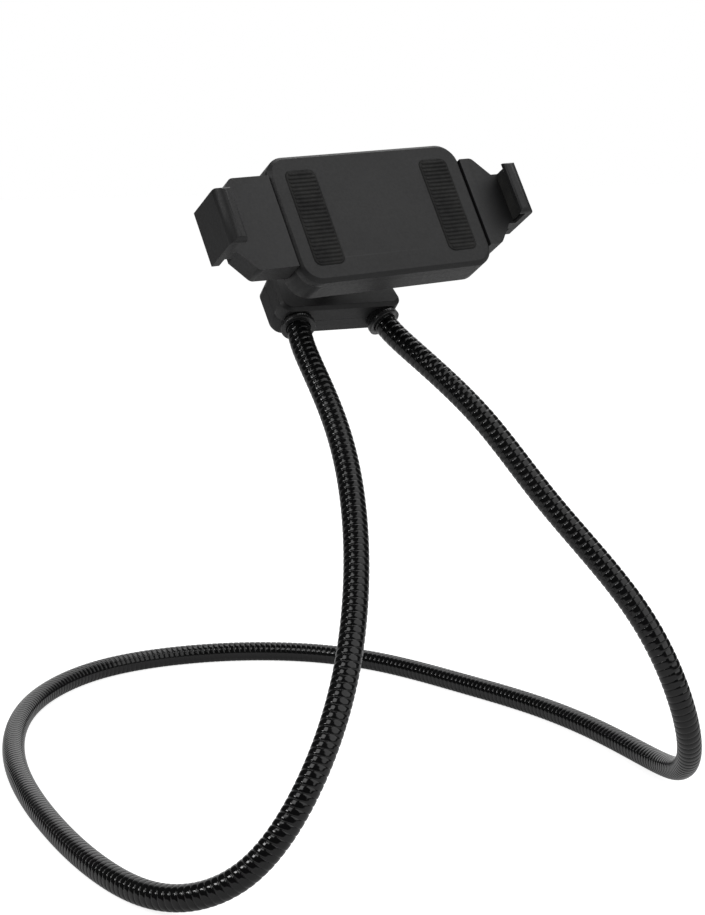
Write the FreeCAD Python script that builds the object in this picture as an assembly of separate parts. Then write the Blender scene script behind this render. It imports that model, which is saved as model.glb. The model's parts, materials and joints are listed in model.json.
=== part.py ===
import FreeCAD, Part
import math
import os

from FreeCAD import Placement, Rotation, Vector

# Gooseneck: a ribbed flexible metal tube whose two ends meet behind the clamp

neck_diameter = 10.0
neck_bore = 6.2
rib_count = 60
rib_depth = 0.2
rest_flat = 0.5
bore_turn_step = 12.0
bore_longest_step = 60.0
lead_step = 8.0
straight_lead = 12.0

# The free part of the centre line, hand-chosen: x, y and height above the lying tube's centre line

neck_route = [
    (-19, -58, 179.5),
    (-19, -85, 152.5),
    (-32, -118, 116.5),
    (-54, -147, 74.5),
    (-81, -162, 38.5),
    (-104, -159, 10.5),
    (-125, -138, 0),
    (-133, -101, 0),
    (-131, -46, 0),
    (-121, 21, 0),
    (-102, 79, 0),
    (-73, 129, 0),
    (-33, 161, 0),
    (7, 169, 0),
    (52, 159, 0),
    (89, 133, 0),
    (111, 94, 0),
    (121, 44, 0),
    (132, -8, 0),
    (132, -59, 0),
    (124, -110, 0),
    (109, -143, 8.5),
    (94, -165, 28.5),
    (82, -168, 58.5),
    (72, -153, 90.5),
    (56, -113, 125.5),
    (45, -88, 158.5),
]

# Where the ball joint stands, how the two sides of it lean, and the clamp's turn in the photograph

ball_centre = Vector(4.3, -45.2, 232.0)
yoke_lean = 46.0
clamp_lean = 30.0
clamp_roll = 3.6

# Clearances

running_clearance = 0.05
fit_clearance = 0.1
thrust_clearance = 0.2
slide_clearance = 0.3

# How far a cutting shape runs past what it cuts, and how deep a fused feature is rooted

overshoot = 1.0
rooting = 0.2

# Ball stud, its nut and washer

ball_radius = 8.0
stud_neck_radius = 3.5
stud_flange_radius = 6.5
stud_flange_thickness = 3.0
stud_shank_radius = 3.0
washer_radius = 6.2
washer_thickness = 1.0
nut_sides = 6
nut_across_flats = 10.0
nut_thickness = 5.0
stud_end_beyond_nut = 1.0

# Yoke: two moulded halves around the tube ends

yoke_front = 18.0
yoke_thickness = 16.0
yoke_bottom = 20.0
yoke_top = 15.0
yoke_half_width = 29.0
yoke_waist_half_width = 27.0
yoke_waist_height = 1.0
yoke_top_half_width = 14.0
yoke_corner_radius = 5.0
yoke_edge_bevel = 1.4
socket_spacing = 40.0
socket_splay = 12.0
nut_pocket_radius = 7.2
nut_pocket_depth = 6.5

# Ferrules crimped on the tube ends, and the grub screws that hold them

ferrule_radius = 6.0
ferrule_length = 17.0
ferrule_insert = 14.0
ferrule_flange_radius = 7.2
ferrule_flange_thickness = 2.0
ferrule_flange_gap = 1.6
ferrule_groove_depth = 0.4
ferrule_groove_width = 4.0
ferrule_groove_height = 7.0
grub_radius = 1.5

# Screws that hold the yoke halves, and the clamp halves, together

yoke_screw_places = [(-11.0, 9.0), (11.0, 9.0), (0.0, -14.5)]
yoke_screw_radius = 1.5
yoke_screw_head_radius = 2.7
yoke_screw_depth = 12.5
clamp_screw_radius = 1.25
clamp_screw_head_radius = 2.4
clamp_screw_depth = 12.0
clamp_screw_inset = 5.6
screw_head_height = 1.8
screw_head_recess = 0.2

# Socket on the clamp's back: collar, nylon seat and lock nut

seat_radius = 11.5
seat_mouth = 3.4
seat_slot_width = 1.0
seat_slots = 4
seat_slot_depth = 7.4
ball_clearance = 0.1
collar_radius = 14.0
collar_mouth = 3.0
collar_nose_radius = 12.7
collar_nose_length = 4.0
collar_slot_width = 1.6
collar_slot_depth = 7.5
lock_nut_radius = 17.0
lock_nut_mouth = 5.6
lock_nut_lip_thickness = 1.8
lock_nut_lip_bore = 9.2
lock_nut_length = 13.2
lock_nut_flutes = 10
lock_nut_flute_radius = 3.0
lock_nut_flute_bite = 1.1
lock_nut_edge = 0.8

# Clamp housing, measured from the ball centre

housing_back = 9.0
housing_left = 40.0
housing_right = 52.0
housing_half_height = 28.0
housing_corner_radius = 9.0
housing_edge_bevel = 1.6
housing_wall = 2.4
housing_split = 20.4
cover_thickness = 4.8
cover_wall = 2.4
boss_radius = 4.0

# Rubber face pads that the device's back lies on

device_back = 26.0
face_pad_width = 14.0
face_pad_height = 42.0
face_pad_inset = 7.0
face_pad_recess = 0.7
face_pad_corner = 3.0
face_pad_edge = 0.4

# Claws: a J that hooks over the device's edge

device_gap = 134.7
grip_depth = 7.4
lip_reach = 2.4
lip_thickness = 3.4
claw_height = 23.2
claw_wall = 3.4
claw_foot_radius = 1.0
claw_crown_radius = 4.0
claw_throat_radius = 0.8
claw_back_corner_radius = 0.8
claw_front_corner_radius = 3.0
lip_taper = 0.6
lip_tip_radius = 1.0
lip_inner_radius = 0.6
claw_pad_thickness = 1.0
claw_pad_inset = 1.5

# Arms that carry the claws: thinner towards the claw, with a gap behind the web that joins them

arm_back = 14.0
arm_neck_back = 15.8
arm_web_back = 20.0
arm_gap = 3.4
arm_half_height = 20.0
arm_flare_angle = 50.0
arm_flare_radius = 3.0

# Sliding arm inside the housing

arm_travel = 60.0
tongue_back = 14.2
tongue_thickness = 4.5
tongue_half_height = 15.0
tail_end_gap = 7.0
tongue_corner_radius = 0.8
tail_corner_radius = 1.5
runner_width = 2.4
spring_row = 9.0
spring_channel_half_width = 3.0
spring_runner_offset = 4.0
spring_radius = 2.4
spring_bore = 1.8
spring_pin_radius = 1.2
spring_pin_on_arm = 22.0
spring_post_inset = 4.2
spring_post_radius = 1.6


def ball_frame(lean, roll=0.0):
    """Frame at the ball: X along the width, Y up the piece, Z towards the device."""
    tilted = Placement(ball_centre, Rotation(Vector(1, 0, 0), 90 - lean))
    return tilted.multiply(Placement(Vector(), Rotation(Vector(0, 0, 1), roll)))


yoke_frame = ball_frame(yoke_lean)
clamp_frame = ball_frame(clamp_lean, clamp_roll)


def cylinder(radius, low, high, x=0.0, y=0.0):
    """Round bar along Z between two heights."""
    return Part.makeCylinder(radius, high - low, Vector(x, y, low))


def ring(outer, inner, low, high):
    """Plain ring along Z."""
    return cylinder(outer, low, high).cut(cylinder(inner, low - overshoot, high + overshoot))


def block(x_range, y_range, z_range):
    """Square-edged block between two corners."""
    size = [high - low for low, high in (x_range, y_range, z_range)]
    return Part.makeBox(*size, Vector(x_range[0], y_range[0], z_range[0]))


def rounded_wire(corners, radii):
    """Closed outline in the XY plane with an arc at each corner."""
    edges = []
    count = len(corners)
    starts, ends = [], []
    for i, (corner, radius) in enumerate(zip(corners, radii)):
        here = Vector(*corner, 0)
        before = Vector(*corners[i - 1], 0) - here
        after = Vector(*corners[(i + 1) % count], 0) - here
        before.normalize()
        after.normalize()
        half = before.getAngle(after) / 2
        reach = radius / math.tan(half)
        middle = before + after
        middle.normalize()
        centre = here + middle * (radius / math.sin(half))
        starts.append(here + before * reach)
        ends.append(here + after * reach)
        if radius > 0:
            edges.append(Part.Arc(starts[-1], centre - middle * radius, ends[-1]).toShape())
        else:
            edges.append(None)
    loop = []
    for i in range(count):
        if edges[i]:
            loop.append(edges[i])
        loop.append(Part.makeLine(ends[i], starts[(i + 1) % count]))
    return Part.Wire(loop)


def plate(corners, radii, low, high):
    """Flat piece with a rounded outline, between two heights."""
    face = Part.Face(rounded_wire(corners, radii))
    face.translate(Vector(0, 0, low))
    return face.extrude(Vector(0, 0, high - low))


def rounded_block(x_range, y_range, z_range, radius):
    """Block whose four upright edges are round."""
    (x0, x1), (y0, y1) = x_range, y_range
    corners = [(x0, y0), (x1, y0), (x1, y1), (x0, y1)]
    return plate(corners, [radius] * 4, *z_range)


def edges_at_height(shape, height):
    """Edges that lie flat at one height."""
    flat = []
    for edge in shape.Edges:
        box = edge.BoundBox
        if abs(box.ZMin - height) < 0.001 and abs(box.ZMax - height) < 0.001:
            flat.append(edge)
    return flat


def bevel(shape, height, width):
    """Bevel all edges of a face that lies at one height."""
    return shape.makeChamfer(width, edges_at_height(shape, height))


def union(shapes):
    """One solid out of pieces that overlap."""
    return shapes[0].fuse(shapes[1:]).removeSplitter()


def socket_axis(side):
    """Mouth of one tube socket, and the way that the tube leaves it, in the yoke's frame."""
    splay = math.radians(socket_splay)
    mouth = Vector(side * socket_spacing / 2, -yoke_bottom, -yoke_front - yoke_thickness / 2)
    leaves = Vector(side * math.sin(splay), -math.cos(splay), 0)
    return mouth, leaves


def along_socket(side, shape):
    """Move a piece made on Z, with its mouth at zero, into a socket: up Z is into the yoke."""
    mouth, leaves = socket_axis(side)
    turn = Rotation(Vector(0, 0, 1), leaves * -1)
    shape.Placement = Placement(mouth, turn).multiply(shape.Placement)
    return shape


def neck_lead(side):
    """Straight end of the centre line, from the end of the tube to just outside the yoke."""
    mouth, leaves = socket_axis(side)
    steps = [-ferrule_insert, straight_lead - 2 * lead_step, straight_lead - lead_step, straight_lead]
    return [yoke_frame.multVec(mouth + leaves * step) for step in steps]


def neck_curve():
    """Centre line of the tube: one smooth curve steered by the ends and the route."""
    rest_height = neck_diameter / 2 - rest_flat
    middle = [Vector(x, y, rest_height + rise) for x, y, rise in neck_route]
    poles = neck_lead(-1) + middle + neck_lead(1)[::-1]
    degree = 3
    spans = len(poles) - degree
    multiplicities = [degree + 1] + [1] * (spans - 1) + [degree + 1]
    curve = Part.BSplineCurve()
    curve.buildFromPolesMultsKnots(poles, multiplicities, list(range(spans + 1)), False, degree)
    return curve


def neck_ring(curve, distance, radius, across):
    """Circle square to the centre line, and its X direction, kept steady along the tube."""
    place = curve.parameterAtDistance(distance, curve.FirstParameter)
    ahead = Vector(curve.tangent(place)[0])
    across = across - ahead * across.dot(ahead)
    across.normalize()
    circle = Part.Circle()
    circle.Radius = radius
    edge = circle.toShape()
    turn = Rotation(across, ahead.cross(across), ahead, "ZXY")
    edge.Placement = Placement(curve.value(place), turn)
    return Part.Wire([edge]), across


def neck_skin(curve, stations):
    """Open ruled skin through circles given by distance and radius, and its two end circles."""
    across = Vector(1, 0, 0)
    wires = []
    for distance, radius in stations:
        wire, across = neck_ring(curve, distance, radius, across)
        wires.append(wire)
    return Part.makeLoft(wires, False, True), (wires[0], wires[-1])


def rib_stations(length):
    """Four circles to each rib: the root that it shares with its neighbour, two crests, a root."""
    crest = neck_diameter / 2
    root = crest - rib_depth
    third = length / rib_count / 3
    stations = [(0, root)]
    for i in range(rib_count):
        start = 3 * i
        stations += [((start + 1) * third, crest), ((start + 2) * third, crest), ((start + 3) * third, root)]
    return stations


def bore_stations(curve, length):
    """Circles of the bore, closer together where the tube bends."""
    stations = [0]
    facing = Vector(curve.tangent(curve.FirstParameter)[0])
    for millimetre in range(1, int(length)):
        place = curve.parameterAtDistance(millimetre, curve.FirstParameter)
        ahead = Vector(curve.tangent(place)[0])
        turned = math.degrees(facing.getAngle(ahead))
        if turned >= bore_turn_step or millimetre - stations[-1] >= bore_longest_step:
            stations.append(millimetre)
            facing = ahead
    return [(distance, neck_bore / 2) for distance in stations + [length]]


def gooseneck_hose():
    """Ribbed tube with its bore, flat where it lies."""
    curve = neck_curve()
    length = curve.length()
    outside, outer_ends = neck_skin(curve, rib_stations(length))
    inside, inner_ends = neck_skin(curve, bore_stations(curve, length))
    faces = outside.Faces + inside.Faces
    for outer, inner in zip(outer_ends, inner_ends):
        faces.append(Part.makeFace([outer, inner], "Part::FaceMakerBullseye"))
    skin = Part.makeShell(faces)
    skin.sewShape()
    below = Part.makeBox(2 * length, 2 * length, neck_diameter, Vector(-length, -length, -neck_diameter))
    return Part.makeSolid(skin).cut(below)


def ferrule(side):
    """Crimped cup on a tube end, with a flange outside the yoke and a groove for its grub screw."""
    low = -ferrule_flange_gap - ferrule_flange_thickness
    cup = cylinder(ferrule_radius, low, ferrule_length)
    flange = cylinder(ferrule_flange_radius, low, -ferrule_flange_gap)
    bore = cylinder(neck_diameter / 2 + fit_clearance, low - overshoot, ferrule_insert + fit_clearance)
    groove_low = ferrule_groove_height - ferrule_groove_width / 2
    groove = ring(ferrule_radius + overshoot, ferrule_radius - ferrule_groove_depth,
                  groove_low, groove_low + ferrule_groove_width)
    return along_socket(side, union([cup, flange]).cut(bore).cut(groove))


def yoke_outline(low, high):
    """Shield outline of the yoke, broad at the sockets and narrow at the top."""
    corners = [
        (-yoke_half_width, -yoke_bottom),
        (yoke_half_width, -yoke_bottom),
        (yoke_waist_half_width, yoke_waist_height),
        (yoke_top_half_width, yoke_top),
        (-yoke_top_half_width, yoke_top),
        (-yoke_waist_half_width, yoke_waist_height),
    ]
    return plate(corners, [yoke_corner_radius] * len(corners), low, high)


def yoke_sockets():
    """Room for the two ferrules."""
    rooms = []
    for side in (-1, 1):
        room = cylinder(ferrule_radius + fit_clearance, -yoke_bottom, ferrule_length + fit_clearance)
        rooms.append(along_socket(side, room))
    return rooms


def yoke_split():
    return -yoke_front - yoke_thickness / 2


def yoke_back():
    return -yoke_front - yoke_thickness


def yoke_front_cover():
    """Half of the yoke that faces the ball, with its sockets and screw pilots."""
    half = bevel(yoke_outline(yoke_split(), -yoke_front), -yoke_front, yoke_edge_bevel)
    half = half.cut(yoke_sockets())
    half = half.cut(cylinder(stud_shank_radius + running_clearance, yoke_split() - overshoot, 0))
    for x, y in yoke_screw_places:
        end = yoke_back() + yoke_screw_depth + fit_clearance
        half = half.cut(cylinder(yoke_screw_radius, yoke_split() - overshoot, end, x, y))
    return half


def grub_place(side):
    """Where a grub screw meets its ferrule's groove."""
    mouth, leaves = socket_axis(side)
    return mouth - leaves * ferrule_groove_height


def yoke_rear_shell():
    """Half of the yoke at the back, with the nut's pocket and the screw holes."""
    half = bevel(yoke_outline(yoke_back(), yoke_split()), yoke_back(), yoke_edge_bevel)
    outside = yoke_back() - overshoot
    half = half.cut(yoke_sockets())
    half = half.cut(cylinder(stud_shank_radius + running_clearance, outside, 0))
    half = half.cut(cylinder(nut_pocket_radius, outside, pocket_floor()))
    recess = screw_head_height + screw_head_recess
    for x, y in yoke_screw_places:
        shank = cylinder(yoke_screw_radius + fit_clearance, outside, 0, x, y)
        head = cylinder(yoke_screw_head_radius + fit_clearance, outside, yoke_back() + recess, x, y)
        half = half.cut([shank, head])
    for side in (-1, 1):
        place = grub_place(side)
        half = half.cut(cylinder(grub_radius, outside, yoke_split(), place.x, place.y))
    return half


def pan_screw(radius, head_radius, base, depth, x, y):
    """Screw driven towards +Z from a base height, its head recessed."""
    top = base + screw_head_recess
    head = cylinder(head_radius, top, top + screw_head_height, x, y)
    shank = cylinder(radius, top, base + depth, x, y)
    return union([head, shank])


def yoke_screws():
    """The screws of the yoke, as one group."""
    screws = []
    for x, y in yoke_screw_places:
        screw = pan_screw(yoke_screw_radius, yoke_screw_head_radius, yoke_back(), yoke_screw_depth, x, y)
        screws.append(screw)
    return Part.makeCompound(screws)


def ferrule_grub_screws():
    """Two grub screws whose tips stand in the ferrules' grooves."""
    screws = []
    tip = yoke_split() - ferrule_radius + ferrule_groove_depth
    for side in (-1, 1):
        place = grub_place(side)
        screws.append(cylinder(grub_radius, yoke_back() + screw_head_recess, tip, place.x, place.y))
    return Part.makeCompound(screws)


def pocket_floor():
    return yoke_back() + nut_pocket_depth


def ball_stud():
    """Ball, neck, flange and threaded shank turned in one piece."""
    flange_low = -yoke_front + thrust_clearance
    flange_high = flange_low + stud_flange_thickness
    ball = Part.makeSphere(ball_radius)
    neck = cylinder(stud_neck_radius, flange_low, 0)
    flange = cylinder(stud_flange_radius, flange_low, flange_high)
    end = pocket_floor() - thrust_clearance - washer_thickness - nut_thickness - stud_end_beyond_nut
    shank = cylinder(stud_shank_radius, end, flange_high)
    return union([ball, neck, flange, shank])


def stud_washer():
    high = pocket_floor() - thrust_clearance
    return ring(washer_radius, stud_shank_radius + fit_clearance, high - washer_thickness, high)


def stud_nut():
    """Plain nut on the stud's end."""
    high = pocket_floor() - thrust_clearance - washer_thickness
    low = high - nut_thickness
    corner = nut_across_flats / 2 / math.cos(math.pi / nut_sides)
    angles = [2 * math.pi / nut_sides * i for i in range(nut_sides)]
    corners = [(corner * math.cos(angle), corner * math.sin(angle)) for angle in angles]
    hexagon = plate(corners, [0] * nut_sides, low, high)
    thread = cylinder(stud_shank_radius + running_clearance, low - overshoot, high + overshoot)
    return hexagon.cut(thread)


def seat_front():
    return housing_back - fit_clearance


def ball_seat():
    """Nylon cup around the ball, slit from its mouth so that the collar can squeeze it."""
    cup = cylinder(seat_radius, -seat_mouth, seat_front())
    cup = cup.cut(Part.makeSphere(ball_radius + ball_clearance))
    half = seat_slot_width / 2
    for i in range(seat_slots):
        slot = block((0, 2 * seat_radius), (-half, half), (-2 * seat_mouth, seat_slot_depth - seat_mouth))
        slot.rotate(Vector(), Vector(0, 0, 1), 360 / seat_slots * i)
        cup = cup.cut(slot)
    return cup


def collar():
    """Slit collar on the clamp's back, cylindrical for the thread and tapered at its nose."""
    nose_base = -collar_mouth + collar_nose_length
    barrel = cylinder(collar_radius, nose_base, housing_back + rooting)
    nose = Part.makeCone(collar_nose_radius, collar_radius, collar_nose_length, Vector(0, 0, -collar_mouth))
    return union([barrel, nose])


def collar_room():
    """What the collar leaves open: the seat's bore and four slits."""
    room = [cylinder(seat_radius + fit_clearance, -collar_mouth - overshoot, housing_back)]
    half = collar_slot_width / 2
    for i in range(seat_slots):
        slot = block((0, collar_radius + overshoot), (-half, half),
                     (-collar_mouth - overshoot, collar_slot_depth - collar_mouth))
        slot.rotate(Vector(), Vector(0, 0, 1), 360 / seat_slots * (i + 0.5))
        room.append(slot)
    return room


def lock_nut():
    """Fluted ring on the collar, with a tapered throat and a lip behind the seat."""
    low = -lock_nut_mouth
    high = low + lock_nut_length
    body = cylinder(lock_nut_radius, low, high)
    body = bevel(bevel(body, low, lock_nut_edge), high, lock_nut_edge)
    nose_base = -collar_mouth + collar_nose_length
    wide = collar_radius + fit_clearance
    barrel = cylinder(wide, nose_base, high + overshoot)
    throat_low = low + lock_nut_lip_thickness
    depth = nose_base - throat_low
    narrow = wide - (collar_radius - collar_nose_radius) / collar_nose_length * depth
    throat = Part.makeCone(narrow, wide, depth, Vector(0, 0, throat_low))
    mouth = cylinder(lock_nut_lip_bore, low - overshoot, throat_low)
    body = body.cut([barrel, throat, mouth])
    centre = lock_nut_radius + lock_nut_flute_radius - lock_nut_flute_bite
    for i in range(lock_nut_flutes):
        angle = 2 * math.pi / lock_nut_flutes * i
        x, y = centre * math.cos(angle), centre * math.sin(angle)
        body = body.cut(cylinder(lock_nut_flute_radius, low - overshoot, high + overshoot, x, y))
    return body


def cover_front():
    return housing_split + cover_thickness


def clamp_screw_places():
    """The four corners of the housing, inset from its walls."""
    inset = clamp_screw_inset
    xs = (-housing_left + inset, housing_right - inset)
    ys = (-housing_half_height + inset, housing_half_height - inset)
    return [(x, y) for x in xs for y in ys]


def housing_outline(low, high):
    sides = (-housing_left, housing_right)
    heights = (-housing_half_height, housing_half_height)
    return rounded_block(sides, heights, (low, high), housing_corner_radius)


def housing_cavity(low, high):
    """Room inside the housing's walls."""
    sides = (-housing_left + housing_wall, housing_right - housing_wall)
    heights = (-housing_half_height + housing_wall, housing_half_height - housing_wall)
    return rounded_block(sides, heights, (low, high), housing_corner_radius - housing_wall)


def wall_foot():
    """Distance from the middle of the clamp to the inner face of a claw's wall."""
    return device_gap / 2 + claw_pad_thickness


def lip_under():
    """Height of the lip's underside, just in front of the thickest device."""
    return device_back + grip_depth


def claw_hook():
    """J of the right claw: a wall that curves over into its lip, rounded at its ends."""
    inner = wall_foot()
    outer = inner + claw_wall
    lip_front = lip_under() + lip_thickness
    lip_tip = device_gap / 2 - lip_reach
    profile = [
        (lip_tip, lip_under()),
        (inner, lip_under()),
        (inner, arm_back),
        (outer, arm_back),
        (outer, lip_front),
        (lip_tip, lip_front - lip_taper),
    ]
    radii = [lip_inner_radius, claw_throat_radius, 0, claw_foot_radius, claw_crown_radius, lip_tip_radius]
    half = claw_height / 2
    side_view = plate(profile, radii, -half, half)
    side_view.rotate(Vector(), Vector(1, 0, 0), 90)
    corners = [(-half, arm_back), (half, arm_back), (half, lip_front), (-half, lip_front)]
    corner_radii = [claw_back_corner_radius] * 2 + [claw_front_corner_radius] * 2
    ends = plate(corners, corner_radii, lip_tip - overshoot, outer + overshoot)
    ends.rotate(Vector(), Vector(1, 1, 1), 120)
    return side_view.common(ends)


def claw_arm(root):
    """Arm that carries the right claw: flared down to the claw's height, and thinned to a web there."""
    end = wall_foot() + rooting
    neck = wall_foot() - arm_gap
    half_claw = claw_height / 2
    flare = neck - (arm_half_height - half_claw) / math.tan(math.radians(arm_flare_angle))
    corners = [
        (root, -arm_half_height),
        (flare, -arm_half_height),
        (neck, -half_claw),
        (end, -half_claw),
        (end, half_claw),
        (neck, half_claw),
        (flare, arm_half_height),
        (root, arm_half_height),
    ]
    edge_radii = [0, arm_flare_radius, 0, 0]
    plan = plate(corners, edge_radii + edge_radii[::-1], arm_back, cover_front())
    profile = [
        (root, arm_back),
        (neck, arm_neck_back),
        (neck, arm_web_back),
        (end, arm_web_back),
        (end, cover_front()),
        (root, cover_front()),
    ]
    side_view = plate(profile, [0] * len(profile), -arm_half_height, arm_half_height)
    side_view.rotate(Vector(), Vector(1, 0, 0), 90)
    return plan.common(side_view)


def right_claw(root):
    """Arm and hook as one moulding."""
    return union([claw_arm(root), claw_hook()])


def mirrored(shape):
    return shape.mirror(Vector(), Vector(1, 0, 0))


def mouth_room():
    """Opening in the housing's left wall for the arm's tongue."""
    gap = slide_clearance
    half = tongue_half_height + gap
    low = tongue_back - gap
    high = tongue_back + tongue_thickness + gap
    wall = (-housing_left - overshoot, -housing_left + housing_wall + overshoot)
    return block(wall, (-half, half), (low, high))


def runner(y_low, y_high, low, high):
    """Straight runner along the housing that guides the arm."""
    sides = (-housing_left + housing_wall - rooting, housing_right - housing_wall + rooting)
    return block(sides, (y_low, y_high), (low, high))


def tail_half_height():
    """The arm's tail fills the height between the screw bosses."""
    return housing_half_height - clamp_screw_inset - boss_radius - slide_clearance


def rear_runners():
    """Two side runners beside the tail and two floor runners under the tongue."""
    floor = housing_back + housing_wall - rooting
    beside = tail_half_height() + slide_clearance
    spring_side = spring_row + spring_runner_offset
    under = tongue_back - slide_clearance
    runners = []
    for side in (-1, 1):
        edges = sorted((side * beside, side * (beside + runner_width)))
        runners.append(runner(*edges, floor, housing_split))
        edges = sorted((side * spring_side, side * (spring_side + runner_width)))
        runners.append(runner(*edges, floor, under))
    return runners


def spring_posts():
    """Moulded posts at the far end of the housing that hold the springs' fixed ends."""
    x = housing_right - housing_wall - spring_post_inset
    floor = housing_back + housing_wall - rooting
    return [cylinder(spring_post_radius, floor, housing_split, x, side * spring_row) for side in (-1, 1)]


def clamp_rear_shell():
    """Back half of the housing, with the socket collar, the runners and the fixed claw."""
    room = housing_outline(housing_back, housing_split)
    shell = bevel(room, housing_back, housing_edge_bevel)
    shell = shell.cut(housing_cavity(housing_back + housing_wall, housing_split + overshoot))
    bosses = []
    for x, y in clamp_screw_places():
        bosses.append(cylinder(boss_radius, housing_back + housing_wall - rooting, housing_split, x, y))
    inside = [piece.common(room) for piece in bosses + rear_runners() + spring_posts()]
    claw = right_claw(housing_right - housing_wall)
    shell = union([shell] + inside + [claw, collar()])
    shell = shell.cut(collar_room() + [mouth_room()])
    outside = housing_back - overshoot
    recess = screw_head_height + screw_head_recess
    for x, y in clamp_screw_places():
        shank = cylinder(clamp_screw_radius + fit_clearance, outside, housing_split + overshoot, x, y)
        head = cylinder(clamp_screw_head_radius + fit_clearance, outside, housing_back + recess, x, y)
        shell = shell.cut([shank, head])
    return shell.cut(cover_room())


def cover_room():
    """Space above the split that the cover fills, kept clear of the fixed claw's root."""
    sides = (-housing_left - overshoot, housing_right + fit_clearance)
    heights = (-housing_half_height - overshoot, housing_half_height + overshoot)
    return block(sides, heights, (housing_split, cover_front() + overshoot))


def face_pad_sides():
    """Left and right face pads, as X ranges."""
    left = -housing_left + face_pad_inset
    right = housing_right - face_pad_inset
    return [(left, left + face_pad_width), (right - face_pad_width, right)]


def clamp_front_cover():
    """Front half of the housing: a lid with pad recesses, inner walls and screw pilots."""
    front = cover_front()
    lid = bevel(housing_outline(housing_split, front), front, housing_edge_bevel)
    lid = lid.cut(housing_cavity(housing_split - overshoot, front - cover_wall))
    inner = front - cover_wall + rooting
    over = tongue_back + tongue_thickness + slide_clearance
    spring_side = spring_row + spring_runner_offset
    extras = []
    for side in (-1, 1):
        edges = sorted((side * spring_side, side * (spring_side + runner_width)))
        extras.append(runner(*edges, over, inner).common(housing_cavity(over, inner)))
    for x, y in clamp_screw_places():
        boss = cylinder(boss_radius, housing_split, inner, x, y)
        extras.append(boss.common(housing_outline(housing_split, inner)))
    lid = union([lid] + extras)
    half = face_pad_height / 2
    for sides in face_pad_sides():
        depth = (front - face_pad_recess, front + overshoot)
        lid = lid.cut(rounded_block(sides, (-half, half), depth, face_pad_corner))
    pilot_end = housing_back + clamp_screw_depth + fit_clearance
    for x, y in clamp_screw_places():
        lid = lid.cut(cylinder(clamp_screw_radius, housing_split - overshoot, pilot_end, x, y))
    return lid


def face_pad(index):
    """Rubber pad in its recess, proud of the cover."""
    x0, x1 = face_pad_sides()[index]
    gap = fit_clearance
    half = face_pad_height / 2 - gap
    depth = (cover_front() - face_pad_recess, device_back)
    pad = rounded_block((x0 + gap, x1 - gap), (-half, half), depth, face_pad_corner - gap)
    return bevel(pad, device_back, face_pad_edge)


def right_claw_pad():
    """Rubber liner on the inside of the right claw's wall."""
    inner = wall_foot()
    half = claw_height / 2 - claw_pad_inset
    low = cover_front() + fit_clearance
    high = lip_under() - claw_throat_radius
    return block((inner - claw_pad_thickness, inner), (-half, half), (low, high))


def tongue():
    """Flat tongue of the sliding arm with its wider tail and two spring channels."""
    low, high = tongue_back, tongue_back + tongue_thickness
    tail_end = housing_right - housing_wall - tail_end_gap
    tail_start = -housing_left + housing_wall + slide_clearance + arm_travel
    root = -housing_left - slide_clearance - overshoot
    bar_rows = (-tongue_half_height, tongue_half_height)
    tail_rows = (-tail_half_height(), tail_half_height())
    bar = rounded_block((root, tail_end), bar_rows, (low, high), tongue_corner_radius)
    tail = rounded_block((tail_start, tail_end), tail_rows, (low, high), tail_corner_radius)
    body = union([bar, tail])
    half = spring_channel_half_width
    channel = (-spring_pin_on_arm - half, tail_end + overshoot)
    for side in (-1, 1):
        middle = side * spring_row
        rows = (middle - half, middle + half)
        body = body.cut(block(channel, rows, (low - overshoot, high + overshoot)))
    return body


def sliding_arm():
    """Tongue, shoulder plate and left claw as one moulding."""
    shoulder = mirrored(right_claw(housing_left + slide_clearance))
    return union([shoulder, tongue()])


def arm_spring_pins():
    """Steel pins across the arm's two spring channels."""
    pins = []
    middle = tongue_back + tongue_thickness / 2
    reach = spring_channel_half_width
    for side in (-1, 1):
        base = Vector(-spring_pin_on_arm, side * spring_row - reach, middle)
        pins.append(Part.makeCylinder(spring_pin_radius, 2 * reach, base, Vector(0, 1, 0)))
    return Part.makeCompound(pins)


def clamp_spring(side):
    """Extension spring from the arm's pin to the housing's post, as its outer tube."""
    middle = tongue_back + tongue_thickness / 2
    start = -spring_pin_on_arm + spring_pin_radius + fit_clearance
    end = housing_right - housing_wall - spring_post_inset - spring_post_radius - fit_clearance
    base = Vector(start, side * spring_row, middle)
    outer = Part.makeCylinder(spring_radius, end - start, base, Vector(1, 0, 0))
    inner = Part.makeCylinder(spring_bore, end - start, base, Vector(1, 0, 0))
    return outer.cut(inner)


def clamp_screws():
    """The four screws of the clamp housing, as one group."""
    screws = []
    for x, y in clamp_screw_places():
        screw = pan_screw(clamp_screw_radius, clamp_screw_head_radius, housing_back, clamp_screw_depth, x, y)
        screws.append(screw)
    return Part.makeCompound(screws)


def placed(frame, shape):
    """Carry a piece from its own frame to where it stands."""
    moved = shape.copy()
    moved.Placement = frame.multiply(moved.Placement)
    return moved


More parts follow.
